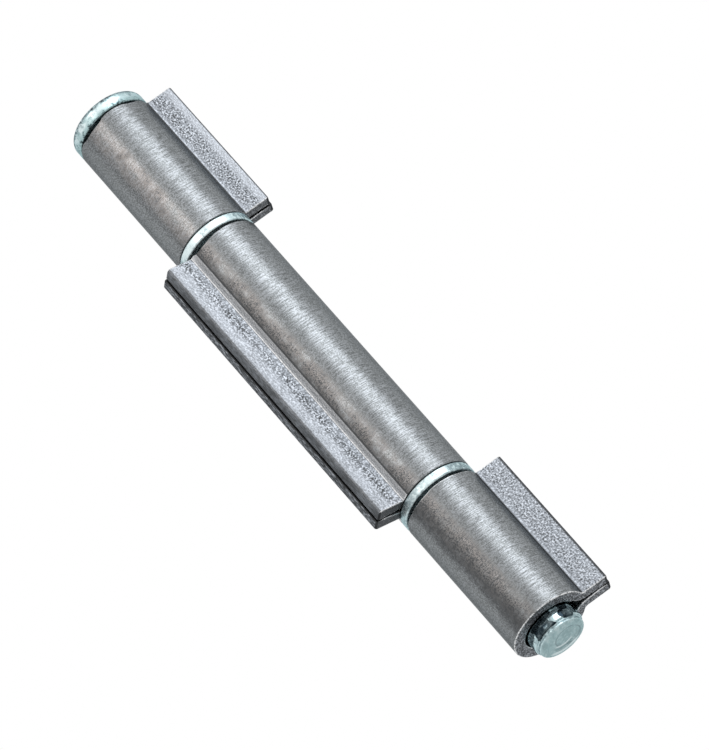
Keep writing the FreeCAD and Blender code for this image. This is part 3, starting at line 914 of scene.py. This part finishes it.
class ZincPlate(Metal):
    """The plating, which differs by piece and by place. Its layers come from below."""

    def __init__(self, place, colours):
        super().__init__(place, colours, ZINC_NOISES, 2 * HALF_TURN)
        low, high = SHANK_END
        self.on_end = self.height < END_FACE
        self.on_head = self.height > HEAD_START
        self.on_shank_end = (self.height < high) * (self.height > low) * (self.radius > SHANK_SIDE)
        self.dull = stepped(self.clouds, 0.4, 0.6) * stepped(self.spots, 0.4, 0.58)
        self.dull = self.dull * (0.8 - 0.5 * self.on_end)

    def clear_spots(self):
        """Clear spots, and on the pin's end face worn and rubbed ones."""
        dark, bright = self.colours.zinc_dark, self.colours.zinc_bright
        return [(0.5 * (1 - stepped(self.spots, 0.3, 0.5)), bright),
                (0.45 * stepped(self.swept, 0.5, 0.66) * self.on_end, dark),
                (0.7 * (1 - stepped(self.swept, 0.34, 0.48)) * self.on_end, bright)]

    def sheen(self):
        """A bright painted sheen to one side, fainter on dull plating, and painted shade where it
        is broken up on the head and along the head's lower rim.
        """
        low_rim = 1 - stepped(self.height, *HEAD_UNDER)
        # Where the painted sheen is faint on the head, painted shade in the end's film colour.
        faint = most(0.6 * (1 - stepped(self.shapes, 0.4, 0.54)), 0.7 * low_rim) * self.on_head
        sheen = toned(self.around, SHEEN) * stepped(self.radius, *PAST_SHANK)
        sheen = sheen * (1 - 0.8 * self.dull) * (1 - faint)
        return [(0.72 * sheen, self.colours.zinc_bright), (faint, self.colours.zinc_end)]

    def washer_film(self):
        """A film on the lower washer, the one below the middle of the hinge."""
        on_low_washer = (self.radius > PAST_SHANK[0]) * (self.height < 0.0)
        film = toned(self.around, WASHER_FILM) * on_low_washer
        film = film * (0.4 + 0.55 * stepped(self.spots, 0.36, 0.56))
        return [(0.8 * film, self.colours.zinc_dark)]

    def end_face(self):
        """The pin's end face: a film, a dark ring off its centre and two pale arcs of painted
        highlight.
        """
        off_ring = abs(from_axis(self.place, *RING_CENTRE) - RING_RADIUS)
        layers = [(0.5 * self.on_end, self.colours.zinc_end),
                  (0.6 * (off_ring < RING_HALF) * self.on_end, self.colours.zinc_dark)]
        # Pale arcs of painted highlight on one side of the end face.
        for middle, half, start in END_HIGHLIGHT_ARCS:
            arc = (1 - stepped(abs(self.radius - middle), 0.4 * half, half)) * self.on_end
            arc = arc * stepped(self.across, start, start + ARC_FADE)
            layers.append((0.8 * arc, self.colours.zinc_bright))
        return layers

    def head_rim(self):
        """A spotted painted dark reflection along the head's upper edge, and dark mottling above
        and below the middle of its rim.
        """
        # A spotted painted dark reflection along the head's upper edge.
        edge_dark_reflection = stepped(self.height, *HEAD_EDGE_DARK_REFLECTION) * stepped(self.spots, 0.3, 0.55)
        mottled = stepped(abs(self.height - RIM_MIDDLE), *OFF_MIDDLE) * self.on_head
        mottled = mottled * stepped(self.spots, 0.5, 0.6) * stepped(self.clouds, 0.38, 0.55)
        return [(edge_dark_reflection, self.colours.zinc_dark), (0.75 * mottled, self.colours.tarnish_and_dark_reflection)]

    def shank_tarnish_and_reflection(self):
        """Blue-black patches of tarnish and painted dark reflection where the shank comes out below
        the lower leaf.
        """
        wavering = self.shapes * 0.16 + self.around - 0.08
        # Tarnish with painted dark reflection on the polished shank near its end.
        tarnish_and_dark_reflection = stepped(toned(wavering, TIP_TARNISH_AND_REFLECTION), 0.3, 0.7) * self.on_shank_end
        cloudy = 1.0 - 0.28 * stepped(self.clouds, 0.4, 0.62)
        return [(tarnish_and_dark_reflection * cloudy, self.colours.tarnish_and_dark_reflection)]


def zinc_plate(colours):
    """Bright zinc plating: pale blue and cloudy, with dull spots, a painted sheen, and blue-black
    tarnish with painted dark reflection at the tip.
    """
    material, shader, place = new_material("bright_zinc")
    zinc = ZincPlate(place, colours)
    colour = layered(mixed(zinc.dull, colours.zinc, colours.zinc_dark), *zinc.clear_spots(),
                     *zinc.sheen(), *zinc.washer_film(), *zinc.end_face(), *zinc.head_rim(),
                     *zinc.shank_tarnish_and_reflection())
    rough = blended(zinc.on_shank_end, 0.26 + 0.3 * zinc.clouds, 0.14)
    return finish_metal(material, shader, ZINC_TINT, colour, rough, ZINC_DEPTH * zinc.clouds)


def turned_piece(node, section, sizes, material, tree):
    """Spins the pin's or a washer's half section into its piece."""
    low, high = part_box(node)
    points = half_section(section(sizes, high[2] - low[2]))
    piece = run_tree(node + "_plated", points, tree,
                     {"Steps": sizes.steps, "Base": low[2], "Material": material})
    hand_over(piece, node)


class HINGE_OT_leaves(bpy.types.Operator):
    """Rolls the three steel leaves"""

    bl_idname = "hinge.leaves"
    bl_label = "Leaves"

    def execute(self, context):
        sizes = context.scene.hinge_leaves
        material = bare_steel(context.scene.hinge_finishes)
        tree = leaf_tree()
        short = OUTER_BOX[1][2] - OUTER_BOX[0][2]
        for number, (node, looks) in enumerate(LEAF_LOOKS.items()):
            middle = node == "middle_leaf"
            edge = sizes.middle_edge if middle else sizes.edge
            bend = sizes.middle_bend if middle else sizes.bend
            gap = sizes.wide_gap if node == "upper_leaf" else sizes.gap
            outline, bend_centre = leaf_outline(sizes, edge, bend, gap)
            points = [(x, y, 0.0) for x, y in outline]
            low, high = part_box(node)
            piece = run_tree(node + "_rolled", points, tree, {
                "Length": high[2] - low[2],
                "Base": low[2],
                "Turn": sizes.middle_turn if middle else 0.0,
                "Rows": round(sizes.rows * (high[2] - low[2]) / short),
                "End rounding": sizes.end_rounding,
                "Corner radius": sizes.corner,
                "Reach": WING_REACH,
                "Wing start": bend_centre - looks["Face lead"],
                "Unevenness": sizes.unevenness,
                "Wave": sizes.wave * looks["Dip share"],
                "Long leg": -sizes.long_leg if middle else sizes.long_leg,
                "Slit": (gap + sizes.lip) / 2,
                "Seed": float(number + 1),
                "Material": material,
                **looks,
            })
            hand_over(piece, node)
        return {"FINISHED"}


class HINGE_OT_washers(bpy.types.Operator):
    """Stamps the two plated washers"""

    bl_idname = "hinge.washers"
    bl_label = "Washers"

    def execute(self, context):
        sizes = context.scene.hinge_turned
        material = zinc_plate(context.scene.hinge_finishes)
        tree = turned_tree()
        for node in WASHERS:
            turned_piece(node, washer_section, sizes, material, tree)
        return {"FINISHED"}


class HINGE_OT_pin(bpy.types.Operator):
    """Turns the plated, headed pin"""

    bl_idname = "hinge.pin"
    bl_label = "Pin"

    def execute(self, context):
        turned_piece("pin", pin_section, context.scene.hinge_turned,
                     bpy.data.materials["bright_zinc"], bpy.data.node_groups["Turned piece"])
        return {"FINISHED"}


def soft_box(name, power, direction, size, colour):
    """A square area lamp that faces the hinge from one direction."""
    data = bpy.data.lights.new(name, "AREA")
    data.shape = "SQUARE"
    data.size = size
    data.energy = power
    data.color = colour
    lamp = new_object(name, data)
    lamp.location = Vector(direction).normalized() * LAMP_DISTANCE
    lamp.rotation_euler = Vector(direction).to_track_quat("Z", "Y").to_euler()


def white_world():
    """A world that is white behind the hinge and in its metal, and plain light otherwise."""
    world = bpy.data.worlds.new("white studio")
    world.use_nodes = True
    tree = world.node_tree
    seen = add(tree, "ShaderNodeLightPath", out="Is Camera Ray")
    path = seen.socket.node.outputs
    for ray in ("Is Glossy Ray", "Is Transmission Ray"):
        seen = most(seen, Wire(tree, path[ray]))
    background = tree.nodes["Background"]
    put(tree, background, "Color", (1.0, 1.0, 1.0, 1.0))
    put(tree, background, "Strength", blended(seen, PLAIN_LIGHT, 1.0))
    bpy.context.scene.world = world


def pale_floor(depth):
    """A pale floor far below the hinge."""
    mesh = bpy.data.meshes.new("floor")
    square = ((-1, -1), (1, -1), (1, 1), (-1, 1))
    corners = [(FLOOR_HALF * x, FLOOR_HALF * y, depth) for x, y in square]
    mesh.from_pydata(corners, [], [(0, 1, 2, 3)])
    material, shader, place = new_material("pale_floor")
    tone = noises(place, {"tone": ((3, 3, 3), 2.0, 0.5)})["tone"]
    put(place.tree, shader, "Roughness", 0.9)
    put(place.tree, shader, "Base Color", mixed(tone, (0.86, 0.86, 0.86), (0.9, 0.9, 0.9)))
    mesh.materials.append(material)
    floor = new_object("floor", mesh)


class HINGE_OT_stage(bpy.types.Operator):
    """Sets up the floor, the white world, the lamps and the camera"""

    bl_idname = "hinge.stage"
    bl_label = "Stage"

    def execute(self, context):
        studio = context.scene.hinge_studio
        white_world()
        pale_floor(studio.floor_depth)
        soft_box("overhead", studio.key_power, *OVERHEAD)
        soft_box("left", studio.side_power, *FROM_LEFT)
        data = bpy.data.cameras.new("camera")
        data.lens = studio.lens
        data.sensor_width = 36.0
        data.clip_end = 20.0
        camera = new_object("camera", data)
        right, up = Vector(CAMERA_RIGHT), Vector(CAMERA_UP)
        axes = Matrix((right, up, right.cross(up))).transposed().to_4x4()
        camera.matrix_world = Matrix.Translation(studio.camera_place) @ axes
        context.scene.camera = camera
        context.scene.view_settings.view_transform = "Standard"
        return {"FINISHED"}


class HINGE_PT_panel(bpy.types.Panel):
    """Lists the hinge's operators and sizes"""

    bl_label = "Weld-on hinge"
    bl_space_type = "VIEW_3D"
    bl_region_type = "UI"
    bl_category = "Hinge"

    def draw(self, context):
        for operator in OPERATORS:
            self.layout.operator(operator.bl_idname)
        for name in PROPERTIES:
            group = getattr(context.scene, name)
            box = self.layout.box()
            for key in group.bl_rna.properties.keys():
                if key not in ("rna_type", "name"):
                    box.prop(group, key)


OPERATORS = (HINGE_OT_leaves, HINGE_OT_washers, HINGE_OT_pin, HINGE_OT_stage)
PROPERTIES = {
    "hinge_leaves": LeafSizes,
    "hinge_turned": TurnedSizes,
    "hinge_finishes": Finishes,
    "hinge_studio": Studio,
}
CLASSES = (*PROPERTIES.values(), *OPERATORS, HINGE_PT_panel)


def register():
    for item in CLASSES:
        bpy.utils.register_class(item)
    for name, group in PROPERTIES.items():
        setattr(bpy.types.Scene, name, PointerProperty(type=group))


def unregister():
    for name in PROPERTIES:
        delattr(bpy.types.Scene, name)
    for item in reversed(CLASSES):
        bpy.utils.unregister_class(item)


def main():
    """Makes the whole hinge and its studio."""
    register()
    bpy.ops.hinge.leaves()
    bpy.ops.hinge.washers()
    bpy.ops.hinge.pin()
    bpy.ops.hinge.stage()


if __name__ == "__main__":
    main()
